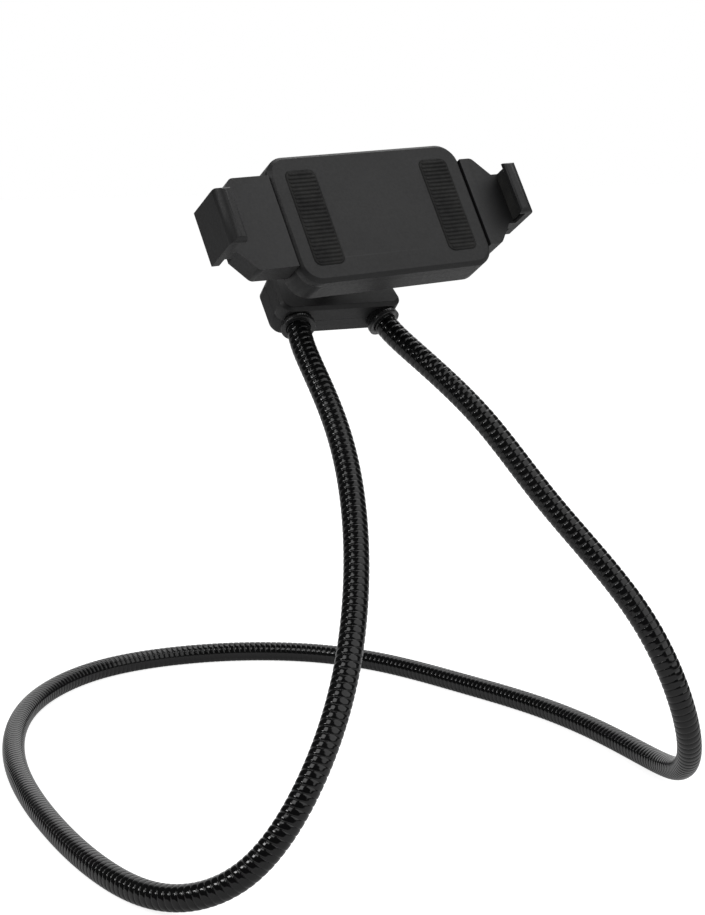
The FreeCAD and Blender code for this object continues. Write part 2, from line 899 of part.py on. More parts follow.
def pieces():
    """Every separate piece by name, where it stands."""
    own = {"gooseneck_hose": gooseneck_hose()}
    on_yoke = {
        "left_ferrule": ferrule(-1),
        "right_ferrule": ferrule(1),
        "yoke_rear_shell": yoke_rear_shell(),
        "yoke_front_cover": yoke_front_cover(),
        "yoke_screws": yoke_screws(),
        "ferrule_grub_screws": ferrule_grub_screws(),
        "ball_stud": ball_stud(),
        "stud_washer": stud_washer(),
        "stud_nut": stud_nut(),
    }
    on_clamp = {
        "ball_seat": ball_seat(),
        "lock_nut": lock_nut(),
        "clamp_rear_shell": clamp_rear_shell(),
        "clamp_front_cover": clamp_front_cover(),
        "clamp_screws": clamp_screws(),
        "left_face_pad": face_pad(0),
        "right_face_pad": face_pad(1),
        "fixed_claw_pad": right_claw_pad(),
        "sliding_claw_pad": mirrored(right_claw_pad()),
        "sliding_arm": sliding_arm(),
        "arm_spring_pins": arm_spring_pins(),
        "upper_clamp_spring": clamp_spring(1),
        "lower_clamp_spring": clamp_spring(-1),
    }
    own.update({name: placed(yoke_frame, shape) for name, shape in on_yoke.items()})
    own.update({name: placed(clamp_frame, shape) for name, shape in on_clamp.items()})
    return own


def main():
    os.makedirs("parts", exist_ok=True)
    curve = neck_curve()
    print("tube length", round(curve.length(), 1))
    for name, shape in pieces().items():
        if not shape.isValid() or shape.Volume <= 0:
            print("check the shape of", name)
        shape.exportStep("parts/" + name + ".step")


main()
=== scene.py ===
import json
import math

import bmesh
import bpy
import numpy as np
from mathutils import Matrix, Vector


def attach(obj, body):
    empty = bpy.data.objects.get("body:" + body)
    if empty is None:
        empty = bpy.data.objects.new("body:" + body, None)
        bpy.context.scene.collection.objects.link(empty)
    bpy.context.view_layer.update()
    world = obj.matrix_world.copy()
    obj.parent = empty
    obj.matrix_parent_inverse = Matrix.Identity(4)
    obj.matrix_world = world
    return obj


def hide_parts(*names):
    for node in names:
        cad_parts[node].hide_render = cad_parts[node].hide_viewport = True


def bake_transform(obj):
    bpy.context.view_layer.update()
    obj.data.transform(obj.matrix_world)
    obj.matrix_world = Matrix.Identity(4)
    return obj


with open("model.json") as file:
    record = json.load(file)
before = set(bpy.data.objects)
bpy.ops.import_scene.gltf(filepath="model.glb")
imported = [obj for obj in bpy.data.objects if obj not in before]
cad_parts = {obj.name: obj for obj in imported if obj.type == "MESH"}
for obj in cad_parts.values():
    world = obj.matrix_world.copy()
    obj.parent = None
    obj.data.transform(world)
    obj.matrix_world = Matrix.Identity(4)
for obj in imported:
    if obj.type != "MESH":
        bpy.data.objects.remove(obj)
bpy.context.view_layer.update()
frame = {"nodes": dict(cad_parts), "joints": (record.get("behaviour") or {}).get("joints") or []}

# Sizes of the object are in millimetres, and the frame and the studio in metres

MM = 0.001

# Gooseneck: the same driving sizes and route as the frame's tube

TUBE_RADIUS = 5.0
BORE_RADIUS = 3.1
REST_FLAT = 0.5
SOCKET_SPACING = 40.0
SOCKET_SPLAY = 12.0
SOCKET_DEPTH = 14.0
LEAD_STEP = 8.0
STRAIGHT_LEAD = 12.0
YOKE_BOTTOM = 20.0
YOKE_MIDDLE = 26.0

# Its route: across, back, and up from where it rests on the table

ROUTE = [
    (-19, -58, 179.5), (-19, -85, 152.5), (-32, -118, 116.5), (-54, -147, 74.5), (-81, -162, 38.5),
    (-104, -159, 10.5), (-125, -138, 0), (-133, -101, 0), (-131, -46, 0), (-121, 21, 0), (-102, 79, 0),
    (-73, 129, 0), (-33, 161, 0), (7, 169, 0), (52, 159, 0), (89, 133, 0), (111, 94, 0), (121, 44, 0),
    (132, -8, 0), (132, -59, 0), (124, -110, 0), (109, -143, 8.5), (94, -165, 28.5), (82, -168, 58.5),
    (72, -153, 90.5), (56, -113, 125.5), (45, -88, 158.5),
]

# Its wound strip: each turn has a level crest, shoulders that fall away, and a narrow groove to the next

RIB_PITCH = 2.85
RIB_CREST_SHARE = 0.36
RIB_SHOULDER_DEPTH = 0.23
RIB_GROOVE_DEPTH = 0.12
RIB_GROOVE_SHARE = 0.05
RIB_PHASES = (0.0, 0.05, 0.09, 0.14, 0.2, 0.28, 0.4, 0.6, 0.72, 0.8, 0.86, 0.91, 0.95)

# Fineness of the tube's mesh

TUBE_SIDES = 40
BORE_STEP = 4.0
RIM_REACH = 6.0
CURVE_ORDER = 4
CURVE_STEPS = 96

# Screws; their places and outer sizes come from the frame

YOKE_SCREW_RADIUS = 1.5
YOKE_SCREW_HEAD_RADIUS = 2.7
CLAMP_SCREW_RADIUS = 1.25
CLAMP_SCREW_HEAD_RADIUS = 2.4
SCREW_HEAD_HEIGHT = 1.8
SCREW_THREAD_PITCH = 1.1
SCREW_THREAD_DEPTH = 0.28
GRUB_RADIUS = 1.5
GRUB_THREAD_PITCH = 0.5
GRUB_THREAD_DEPTH = 0.12
GRUB_SOCKET_ACROSS = 1.5
SOCKET_OVERSHOOT = 0.5
RECESS_DEPTH = 1.1
RECESS_REACH_SHARE = 0.6
RECESS_ARM_SHARE = 0.3
SCREW_SIDES = 32
THREAD_SIDES = 16

# Shares of a screw: its head's radius and height, its thread's turn and depth; and a recess's size by depth

PAN_HEAD = ((0.3, 0.0), (0.62, 0.03), (0.8, 0.12), (0.92, 0.3), (1.0, 0.62), (1.0, 0.94), (0.96, 1.0))
THREAD_TURN = ((0.0, 1.0), (0.35, 0.0), (0.5, 0.0), (0.85, 1.0))
RECESS_TAPER = ((1.1, -0.3), (1.0, 0.0), (0.62, RECESS_DEPTH))

# Springs: hooks round a post and a pin, from and to so many half turns, and a coil between straight leads

SPRING_WIRE_RADIUS = 0.3
SPRING_COIL_PITCH = 1.3
SPRING_LEAD = 3.5
HOOK_GAP = 0.1
HOOK_START = -0.35
HOOK_END = 1.25
POST_RADIUS = 1.6
PIN_RADIUS = 1.2
HOOK_STEPS = 22
COIL_STEPS = 16
WIRE_SIDES = 10

# Face pads and their grip ribs, whose ends taper: place along the rib and size there

PAD_MARGIN = 0.7
PAD_CORNER = 2.9
PAD_EDGE = 0.3
PAD_CORNER_STEPS = 6
PAD_RIB_HEIGHT = 0.4
PAD_RIB_PITCH = 1.75
PAD_RIB_HALF_SHARE = 0.34
PAD_RIB_FOOT = 0.1
PAD_RIB_STEPS = 7
PAD_RIB_ENDS = ((-1, 0.4), (-0.97, 0.85), (-0.93, 1), (0.93, 1), (0.97, 0.85), (1, 0.4))

# Turns between neighbouring faces, in degrees: below the first they are one flat, above the others an edge

FLAT_TURN = 0.5
EDGE_TURN = 32
SCREW_EDGE_TURN = 30
PAD_EDGE_TURN = 40
EDGE_SEGMENTS = 2

# Distances in metres within which two points of a mesh become one

SKIN_MERGE = 0.000002
NODE_WELD = 0.000001

# Finish: pointiness at which an edge is fully worn, and how a plastic's rubbed edges and roughness vary

WORN_THROUGH = 0.62
RUBBED_GAIN = 2.6
PLASTIC_UNEVENNESS = 0.06

# Camera, solved from the photograph; its angles are in degrees and its sensor in millimetres

CAMERA_PLACE = (-0.397, -0.727, 0.27309)
CAMERA_HEADING = 30.715
CAMERA_PITCH = 9.433
CAMERA_ROLL = 0.486
FOCAL_PIXELS = 1912.38
PHOTO_HEIGHT = 915
SENSOR = 36.0

# Studio: levels of light, where 1 looks white, and the cosines between which the backdrop fades

AMBIENT = 0.34
SIDE_GLOSS = 0.05
BACKDROP_GLOSS = 1.0
BACKDROP_EDGE = (0.8, 0.93)
FLOOR_REACH = 8.0
FLOOR_GAP = 0.0002
FLOOR_COLOUR = 0.5
FLOOR_ROUGHNESS = 0.9
FLOOR_GLOW = 0.85
FLOOR_GLOW_IN_GLOSS = 0.15
WHITE = (1, 1, 1, 1)

# Lamps round the object's middle: azimuth clockwise from the backdrop, elevation, width, height, brightness

MIDDLE = (0.0, -0.03, 0.12)
LAMP_DISTANCE = 1.4
LAMPS = {
    "right_softbox": (118, 37, 1.5, 1.6, 1.2),
    "left_softbox": (-134, 48, 0.75, 0.6, 2.6),
    "left_lamp": (-114, 31, 0.42, 0.12, 14),
    "overhead_softbox": (38, 63, 0.9, 0.7, 2.0),
    "backdrop_light": (0, 30, 1.0, 1.6, BACKDROP_GLOSS),
}


def joint(name):
    """The frame's joint of that name."""
    return next(j for j in frame["joints"] if j["name"] == name)


def axis(name):
    """Unit vector along a joint's axis."""
    return Vector(joint(name)["axis"]).normalized()


def local_frame(width, normal):
    """Frame at the ball, from millimetres into metres: X along the width, Z along the normal."""
    ball = Vector(joint("stud_swivel")["pos_m"]) / MM
    up = normal.cross(width)
    turn = Matrix((width, up, normal)).transposed().to_4x4()
    return Matrix.Scale(MM, 4) @ Matrix.Translation(ball) @ turn


YOKE = local_frame(Vector((1, 0, 0)), axis("stud_swivel"))
CLAMP = local_frame(-axis("arm_slide"), axis("head_spin"))


# Shader helpers


def new_material(name):
    """Empty node material with its output and one surface shader."""
    material = bpy.data.materials.new(name)
    material.use_nodes = True
    tree = material.node_tree
    tree.nodes.clear()
    output = tree.nodes.new("ShaderNodeOutputMaterial")
    shader = tree.nodes.new("ShaderNodeBsdfPrincipled")
    tree.links.new(shader.outputs["BSDF"], output.inputs["Surface"])
    return material, tree, shader


def noise(tree, scale, detail=3.0, roughness=0.5, stretch=None):
    """Noise in the piece's own space, scale in cells per metre."""
    place = tree.nodes.new("ShaderNodeTexCoord")
    source = place.outputs["Object"]
    if stretch:
        mapping = tree.nodes.new("ShaderNodeMapping")
        mapping.inputs["Scale"].default_value = stretch
        tree.links.new(source, mapping.inputs["Vector"])
        source = mapping.outputs["Vector"]
    texture = tree.nodes.new("ShaderNodeTexNoise")
    texture.inputs["Scale"].default_value = scale
    texture.inputs["Detail"].default_value = detail
    texture.inputs["Roughness"].default_value = roughness
    tree.links.new(source, texture.inputs["Vector"])
    return texture.outputs["Fac"]


def spread(tree, value, low, high, from_low=0.3, from_high=0.7):
    """Map a value onto a range, by default from the middle of a noise's."""
    node = tree.nodes.new("ShaderNodeMapRange")
    node.inputs["From Min"].default_value = from_low
    node.inputs["From Max"].default_value = from_high
    node.inputs["To Min"].default_value = low
    node.inputs["To Max"].default_value = high
    tree.links.new(value, node.inputs["Value"])
    return node.outputs["Result"]


def blended(tree, factor, first, second):
    """Mix of two colours by a factor; the first may be a socket."""
    node = tree.nodes.new("ShaderNodeMix")
    node.data_type = "RGBA"
    tree.links.new(factor, node.inputs[0])
    # Its sockets for colours come after those for numbers and vectors
    first_input, second_input, result = node.inputs[6], node.inputs[7], node.outputs[2]
    if isinstance(first, bpy.types.NodeSocket):
        tree.links.new(first, first_input)
    else:
        first_input.default_value = (*first, 1)
    second_input.default_value = (*second, 1)
    return result


def clouded(tree, dark, light, scale, detail=3.0):
    """Colour that drifts between two tones."""
    return blended(tree, spread(tree, noise(tree, scale, detail), 0.0, 1.0), dark, light)


def worn(tree, colour, bare, share, begins):
    """Colour that goes over to a share of the bare one along convex edges, by the surface's pointiness."""
    geometry = tree.nodes.new("ShaderNodeNewGeometry")
    factor = spread(tree, geometry.outputs["Pointiness"], 0.0, share, begins, WORN_THROUGH)
    return blended(tree, factor, colour, bare)


def surface(tree, shader, colour, texture, smooth, rough):
    """Give the shader its colour, and a roughness that follows a texture."""
    tree.links.new(colour, shader.inputs["Base Color"])
    tree.links.new(spread(tree, texture, smooth, rough), shader.inputs["Roughness"])


def bump(tree, shader, height, strength, distance):
    """Fine relief on the shader's normal, distance in metres."""
    node = tree.nodes.new("ShaderNodeBump")
    node.inputs["Strength"].default_value = strength
    node.inputs["Distance"].default_value = distance
    tree.links.new(height, node.inputs["Height"])
    tree.links.new(node.outputs["Normal"], shader.inputs["Normal"])


def moulded_plastic(name, dark, light, roughness, grain, specular=0.4):
    """Matte moulded plastic: spark-eroded grain, faint mottling and rubbed edges."""
    material, tree, shader = new_material(name)
    mottled = clouded(tree, dark, light, scale=55.0, detail=4.0)
    bare = [channel * RUBBED_GAIN for channel in light]
    colour = worn(tree, mottled, bare, share=0.35, begins=0.53)
    smooth, rough = roughness - PLASTIC_UNEVENNESS, roughness + PLASTIC_UNEVENNESS
    surface(tree, shader, colour, noise(tree, 900.0, 2.0), smooth, rough)
    shader.inputs["Specular IOR Level"].default_value = specular
    bump(tree, shader, noise(tree, grain, 3.0, 0.6), strength=0.35, distance=0.00006)
    return material


def coated_tube():
    """Glossy black coating over the wound steel strip, a little uneven along its length."""
    material, tree, shader = new_material("glossy_black_coating")
    colour = clouded(tree, (0.0022, 0.0022, 0.0024), (0.004, 0.004, 0.0043), scale=38.0)
    surface(tree, shader, colour, noise(tree, 420.0, 3.0, 0.6), smooth=0.09, rough=0.15)
    shader.inputs["Specular IOR Level"].default_value = 0.45
    bump(tree, shader, noise(tree, 2600.0, 2.0), strength=0.04, distance=0.00003)
    return material


def soft_rubber():
    """Soft black rubber with a dusty sheen."""
    material, tree, shader = new_material("soft_black_rubber")
    colour = clouded(tree, (0.010, 0.010, 0.010), (0.022, 0.022, 0.021), scale=140.0, detail=4.0)
    surface(tree, shader, colour, noise(tree, 700.0), smooth=0.68, rough=0.86)
    shader.inputs["Specular IOR Level"].default_value = 0.25
    bump(tree, shader, noise(tree, 5200.0, 2.0), strength=0.4, distance=0.00005)
    return material


def metal(name, dark, light, smooth, rough, scratch):
    """Plated steel with fine turning marks."""
    material, tree, shader = new_material(name)
    shader.inputs["Metallic"].default_value = 1.0
    marks = noise(tree, scratch, 4.0, 0.6, stretch=(1.0, 1.0, 6.0))
    surface(tree, shader, clouded(tree, dark, light, scale=120.0), marks, smooth, rough)
    bump(tree, shader, marks, strength=0.12, distance=0.00002)
    return material


def black_oxide():
    """Blackened screw steel, brighter where a driver has rubbed it."""
    material, tree, shader = new_material("black_oxide_steel")
    shader.inputs["Metallic"].default_value = 1.0
    colour = worn(tree, (0.03, 0.03, 0.032), (0.24, 0.24, 0.25), share=1.0, begins=0.52)
    surface(tree, shader, colour, noise(tree, 900.0), smooth=0.32, rough=0.5)
    bump(tree, shader, noise(tree, 4000.0, 2.0), strength=0.25, distance=0.00003)
    return material


def natural_nylon():
    """Natural grey nylon, slightly translucent and waxy."""
    material, tree, shader = new_material("natural_nylon")
    colour = clouded(tree, (0.26, 0.25, 0.22), (0.36, 0.35, 0.31), scale=180.0)
    surface(tree, shader, colour, noise(tree, 1500.0), smooth=0.38, rough=0.5)
    shader.inputs["Subsurface Weight"].default_value = 0.08
    shader.inputs["Subsurface Radius"].default_value = (0.002, 0.002, 0.0016)
    bump(tree, shader, noise(tree, 3000.0, 2.0), strength=0.2, distance=0.00003)
    return material


MATERIALS = {
    "coated_tube": coated_tube(),
    "claw_plastic": moulded_plastic(
        "matte_claw_plastic", (0.008, 0.008, 0.0084), (0.011, 0.011, 0.0114),
        roughness=0.5, grain=4200.0,
    ),
    "shell_plastic": moulded_plastic(
        "matte_shell_plastic", (0.009, 0.009, 0.0095), (0.012, 0.012, 0.0125),
        roughness=0.48, grain=4200.0,
    ),
    "nut_plastic": moulded_plastic(
        "satin_nut_plastic", (0.008, 0.008, 0.0085), (0.011, 0.011, 0.0115),
        roughness=0.36, grain=3000.0,
    ),
    "nylon": natural_nylon(),
    "rubber_pads": soft_rubber(),
    "bright_steel": metal(
        "polished_plated_steel", (0.56, 0.56, 0.58), (0.68, 0.68, 0.69),
        smooth=0.08, rough=0.2, scratch=900.0,
    ),
    "plain_steel": metal(
        "zinc_plated_steel", (0.36, 0.36, 0.37), (0.5, 0.5, 0.51),
        smooth=0.26, rough=0.42, scratch=1400.0,
    ),
    "black_screws": black_oxide(),
    "black_ferrule": moulded_plastic(
        "satin_black_ferrule", (0.008, 0.008, 0.0085), (0.014, 0.014, 0.0145),
        roughness=0.3, grain=2400.0, specular=0.5,
    ),
}


# Mesh helpers


def in_scene(name, data):
    """Object of some data, put in the scene."""
    piece = bpy.data.objects.new(name, data)
    bpy.context.scene.collection.objects.link(piece)
    return piece


def finish_piece(name, mesh, body, slot, *nodes):
    """Make an object of a mesh, dress it, and let it ride on its body, if it has one alone."""
    piece = in_scene(name, mesh)
    mesh.materials.append(MATERIALS[slot])
    for polygon in mesh.polygons:
        polygon.use_smooth = True
    if body:
        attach(piece, body)
    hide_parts(*nodes)
    return piece


def creased(piece, degrees):
    """Sharp edges where neighbouring faces turn by more than an angle."""
    piece.data.set_sharp_from_angle(angle=math.radians(degrees))


def all_round(sides):
    """Evenly spaced angles round a circle."""
    return 2 * np.pi * np.arange(sides) / sides


def ring_mesh(name, rows, cap_ends=False):
    """Quads over rings of points, with optional end caps."""
    rows = np.asarray(rows)
    count, width = rows.shape[:2]
    faces = []
    for i in range(count - 1):
        below = i * width
        above = below + width
        for j in range(width):
            k = (j + 1) % width
            faces.append((below + j, below + k, above + k, above + j))
    if cap_ends:
        faces.append(tuple(range(width))[::-1])
        faces.append(tuple(range((count - 1) * width, count * width)))
    mesh = bpy.data.meshes.new(name)
    mesh.from_pydata(rows.reshape(-1, 3).tolist(), [], faces)
    mesh.update()
    return mesh


def faces_out(mesh):
    """Turn all faces of closed shells outwards."""
    shape = bmesh.new()
    shape.from_mesh(mesh)
    bmesh.ops.recalc_face_normals(shape, faces=shape.faces)
    shape.to_mesh(mesh)
    shape.free()
    return mesh


def merged(name, meshes):
    """One mesh out of several closed shells."""
    shape = bmesh.new()
    for mesh in meshes:
        shape.from_mesh(mesh)
        bpy.data.meshes.remove(mesh)
    result = bpy.data.meshes.new(name)
    bmesh.ops.recalc_face_normals(shape, faces=shape.faces)
    shape.to_mesh(result)
    shape.free()
    return result


def turned(name, profile):
    """Closed solid of revolution about Z, from (radius, height) pairs."""
    angles = all_round(SCREW_SIDES)
    rows = [[(r * math.cos(a), r * math.sin(a), z) for a in angles] for r, z in profile]
    return faces_out(ring_mesh(name, rows, cap_ends=True))


def prism(name, outlines):
    """Closed solid through flat outlines, each a list of points and its height."""
    rows = [[(x, y, height) for x, y in outline] for outline, height in outlines]
    return faces_out(ring_mesh(name, rows, cap_ends=True))


def cut_away(mesh, tool):
    """Mesh of a closed solid less a tool."""
    body = in_scene("body", mesh)
    knife = in_scene("knife", tool)
    cut = body.modifiers.new("cut", "BOOLEAN")
    cut.operation = "DIFFERENCE"
    cut.object = knife
    bpy.context.view_layer.update()
    graph = bpy.context.evaluated_depsgraph_get()
    result = bpy.data.meshes.new_from_object(body.evaluated_get(graph))
    for piece in (body, knife):
        bpy.data.objects.remove(piece)
    for spent in (mesh, tool):
        bpy.data.meshes.remove(spent)
    return result


def local_box(node, place):
    """Lowest and highest corner of a node in a local millimetre frame."""
    back = place.inverted()
    points = np.array([back @ v.co for v in frame["nodes"][node].data.vertices])
    return Vector(points.min(axis=0)), Vector(points.max(axis=0))


def dress(node, slot, rounding_width):
    """Give a frame node its material and, with modifiers alone, small rounded edges."""
    piece = frame["nodes"][node]
    piece.data.materials.clear()
    piece.data.materials.append(MATERIALS[slot])
    if rounding_width:
        weld = piece.modifiers.new("weld", "WELD")
        weld.merge_threshold = NODE_WELD
        flats = piece.modifiers.new("whole_flats", "DECIMATE")
        flats.decimate_type = "DISSOLVE"
        flats.angle_limit = math.radians(FLAT_TURN)
        rounding = piece.modifiers.new("rounding", "BEVEL")
        rounding.width = rounding_width * MM
        rounding.segments = EDGE_SEGMENTS
        rounding.limit_method = "ANGLE"
        rounding.angle_limit = math.radians(EDGE_TURN)
        rounding.harden_normals = True
        rounding.miter_outer = "MITER_ARC"


# Gooseneck


def socket_lead(side):
    """Straight end of the centre line in a yoke socket, from inside it to where the tube starts to bend."""
    splay = math.radians(SOCKET_SPLAY)
    mouth = Vector((side * SOCKET_SPACING / 2, -YOKE_BOTTOM, -YOKE_MIDDLE))
    leaves = Vector((side * math.sin(splay), -math.cos(splay), 0))
    steps = (-SOCKET_DEPTH, STRAIGHT_LEAD - 2 * LEAD_STEP, STRAIGHT_LEAD - LEAD_STEP, STRAIGHT_LEAD)
    return [YOKE @ (mouth + leaves * step) / MM for step in steps]


def centre_line():
    """Points every half millimetre or so along the tube's smooth curve."""
    rest = TUBE_RADIUS - REST_FLAT
    middle = [Vector((x, y, rest + rise)) for x, y, rise in ROUTE]
    poles = socket_lead(-1) + middle + socket_lead(1)[::-1]
    curve = bpy.data.curves.new("centre_line", "CURVE")
    curve.dimensions = "3D"
    spline = curve.splines.new("NURBS")
    spline.points.add(len(poles) - 1)
    for point, pole in zip(spline.points, poles):
        point.co = (*(pole * MM), 1)
    spline.order_u = CURVE_ORDER
    spline.use_endpoint_u = True
    spline.resolution_u = CURVE_STEPS
    holder = in_scene("centre_line", curve)
    bpy.context.view_layer.update()
    line = bpy.data.meshes.new_from_object(holder)
    points = np.array([v.co[:] for v in line.vertices]) / MM
    bpy.data.objects.remove(holder)
    bpy.data.curves.remove(curve)
    bpy.data.meshes.remove(line)
    return points


def steady_line(points):
    """A line's points, the distance along it, and two cross directions that turn as little as they can."""
    steps = np.diff(points, axis=0)
    distance = np.concatenate([[0], np.cumsum(np.linalg.norm(steps, axis=1))])
    ahead = np.gradient(points, distance, axis=0)
    ahead /= np.linalg.norm(ahead, axis=1)[:, None]
    across = np.zeros_like(ahead)
    side = np.zeros(3)
    side[np.argmin(np.abs(ahead[0]))] = 1.0
    for i, direction in enumerate(ahead):
        side = side - direction * side.dot(direction)
        side /= np.linalg.norm(side)
        across[i] = side
    return points, distance, across, np.cross(ahead, across)


def rib_depth(phase):
    """Depth of the wound strip's surface below its crest, for a phase from 0 to 1 along one turn."""
    shoulder = max(0.0, abs(2 * phase - 1) - RIB_CREST_SHARE) / (1 - RIB_CREST_SHARE)
    groove = max(0.0, 1 - min(phase, 1 - phase) / RIB_GROOVE_SHARE)
    return RIB_SHOULDER_DEPTH * shoulder ** 2 + RIB_GROOVE_DEPTH * groove


def tube_ring(line, along, radius, angles):
    """Points round a steady line, at given distances along it, angles round it and radii."""
    points, distance, across, over = line
    centre, x, y = (
        np.stack([np.interp(along, distance, way[:, k]) for k in range(3)], axis=1)
        for way in (points, across, over)
    )
    reach = np.broadcast_to(radius, angles.shape)[:, None]
    return centre + reach * (x * np.cos(angles)[:, None] + y * np.sin(angles)[:, None])


def wound_faces(row_count, per_turn, sides):
    """Quads between helical rows: at the seam each row goes on in the row one turn further."""
    faces = []
    for i in range(row_count - per_turn - 1):
        for j in range(sides - 1):
            a = i * sides + j
            faces.append((a, a + 1, a + 1 + sides, a + sides))
        a = i * sides + sides - 1
        b = (i + per_turn) * sides
        faces.append((a, b, b + sides, a + sides))
    return faces


def wound_skin(line, radius, pitch, profile, sides, lowest=-math.inf):
    """Open skin round a line, in metres: its rows follow a helix, by (phase, depth) pairs for one turn."""
    length = line[1][-1]
    angles = all_round(sides)
    rows = []
    for turn in range(-1, int(length / pitch) + 2):
        for phase, depth in profile:
            wanted = (turn + phase + angles / (2 * np.pi)) * pitch
            along = np.clip(wanted, 0, length)
            depths = np.where(wanted == along, depth, 0)
            rows.append(tube_ring(line, along, radius - depths, angles))
    rows = np.array(rows)
    rows[:, :, 2] = np.maximum(rows[:, :, 2], lowest)
    faces = wound_faces(len(rows), len(profile), sides)
    mesh = bpy.data.meshes.new("skin")
    mesh.from_pydata((rows.reshape(-1, 3) * MM).tolist(), [], faces)
    shape = bmesh.new()
    shape.from_mesh(mesh)
    bmesh.ops.remove_doubles(shape, verts=shape.verts, dist=SKIN_MERGE)
    bmesh.ops.delete(shape, geom=[v for v in shape.verts if not v.link_faces], context="VERTS")
    bpy.data.meshes.remove(mesh)
    return shape


def open_rim(shape, end):
    """Open edges of the tube's skins round one of its ends."""
    rims = [e for e in shape.edges if e.is_boundary]
    return [e for e in rims if (e.verts[0].co / MM - Vector(end)).length < RIM_REACH]


def gooseneck_tube():
    """The tube as its strip is wound: each row of the mesh follows the helix, and the bore lies inside."""
    line = steady_line(centre_line())
    length = line[1][-1]
    profile = [(phase, rib_depth(phase)) for phase in RIB_PHASES]
    shape = wound_skin(line, TUBE_RADIUS, RIB_PITCH, profile, TUBE_SIDES, lowest=0.0)
    angles = all_round(TUBE_SIDES)
    steps = np.linspace(0, length, int(length / BORE_STEP))
    bore = [tube_ring(line, np.full(TUBE_SIDES, step), BORE_RADIUS, angles) for step in steps]
    inner = ring_mesh("gooseneck_bore", np.array(bore) * MM)
    shape.from_mesh(inner)
    bpy.data.meshes.remove(inner)
    for end in (line[0][0], line[0][-1]):
        bmesh.ops.bridge_loops(shape, edges=open_rim(shape, end))
    bmesh.ops.recalc_face_normals(shape, faces=shape.faces)
    mesh = bpy.data.meshes.new("gooseneck_tube")
    shape.to_mesh(mesh)
    shape.free()
    finish_piece("gooseneck_tube", mesh, "neck", "coated_tube", "gooseneck_hose")


# Screws, springs and pads


def threaded(length, radius, pitch, depth):
    """Threaded rod along Z from zero, in millimetres."""
    points = np.array([(0, 0, 0), (0, 0, length / 2), (0, 0, length)], float)
    profile = [(phase, depth * share) for phase, share in THREAD_TURN]
    shape = wound_skin(steady_line(points), radius, pitch, profile, THREAD_SIDES)
    bmesh.ops.holes_fill(shape, edges=[e for e in shape.edges if e.is_boundary], sides=0)
    mesh = bpy.data.meshes.new("thread")
    shape.to_mesh(mesh)
    shape.free()
    mesh.transform(Matrix.Scale(1 / MM, 4))
    return mesh


def cross_recess(reach):
    """Tapered cross that a driver fits, going down +Z from a screw's crown."""
    outlines = []
    for size, height in RECESS_TAPER:
        arm = reach * size
        half = arm * RECESS_ARM_SHARE
        corner = [(arm, -half), (arm, half), (half, half)]
        outline = []
        for cosine, sine in ((1, 0), (0, 1), (-1, 0), (0, -1)):
            outline += [(x * cosine - y * sine, x * sine + y * cosine) for x, y in corner]
        outlines.append((outline, height))
    return prism("recess", outlines)


def pan_screw(radius, head_radius, length):
    """Pan-head screw with its crown at zero and its threaded shank along +Z."""
    profile = [(head_radius * across, SCREW_HEAD_HEIGHT * down) for across, down in PAN_HEAD]
    head = cut_away(turned("head", profile), cross_recess(head_radius * RECESS_REACH_SHARE))
    shank = threaded(length - SCREW_HEAD_HEIGHT, radius, SCREW_THREAD_PITCH, SCREW_THREAD_DEPTH)
    shank.transform(Matrix.Translation((0, 0, SCREW_HEAD_HEIGHT)))
    return merged("screw", [head, shank])


def yoke_screw(length):
    """One of the screws that hold the yoke together."""
    return pan_screw(YOKE_SCREW_RADIUS, YOKE_SCREW_HEAD_RADIUS, length)


def clamp_screw(length):
    """One of the screws that hold the clamp's housing together."""
    return pan_screw(CLAMP_SCREW_RADIUS, CLAMP_SCREW_HEAD_RADIUS, length)


def grub_screw(length):
    """Headless screw with a six-sided socket at zero, along +Z."""
    body = threaded(length, GRUB_RADIUS, GRUB_THREAD_PITCH, GRUB_THREAD_DEPTH)
    corner = GRUB_SOCKET_ACROSS / 2 / math.cos(math.pi / 6)
    hexagon = [(corner * math.cos(a), corner * math.sin(a)) for a in np.arange(6) * math.pi / 3]
    socket = prism("socket", [(hexagon, -SOCKET_OVERSHOOT), (hexagon, RECESS_DEPTH)])
    return cut_away(faces_out(body), socket)


def yoke_screw_spots(low, high):
    """Two screws beside the stud and one below it."""
    inset = YOKE_SCREW_HEAD_RADIUS
    return [(low.x + inset, high.y - inset), (high.x - inset, high.y - inset), (0, low.y + inset)]


def clamp_screw_spots(low, high):
    """One screw in each corner."""
    inset = CLAMP_SCREW_HEAD_RADIUS
    return [(x, y) for x in (low.x + inset, high.x - inset) for y in (low.y + inset, high.y - inset)]


def grub_screw_spots(low, high):
    """One screw at each side."""
    return [(x, (low.y + high.y) / 2) for x in (low.x + GRUB_RADIUS, high.x - GRUB_RADIUS)]


def screw_group(node, place, body, spots, make):
    """Replace a node of like screws by detailed ones, each made at the origin and carried to its spot."""
    low, high = local_box(node, place)
    meshes = []
    for x, y in spots(low, high):
        mesh = make(high.z - low.z)
        mesh.transform(place @ Matrix.Translation((x, y, low.z)))
        meshes.append(mesh)
    name = "detailed_" + node
    piece = finish_piece(name, merged(name, meshes), body, "black_screws", node)
    creased(piece, SCREW_EDGE_TURN)


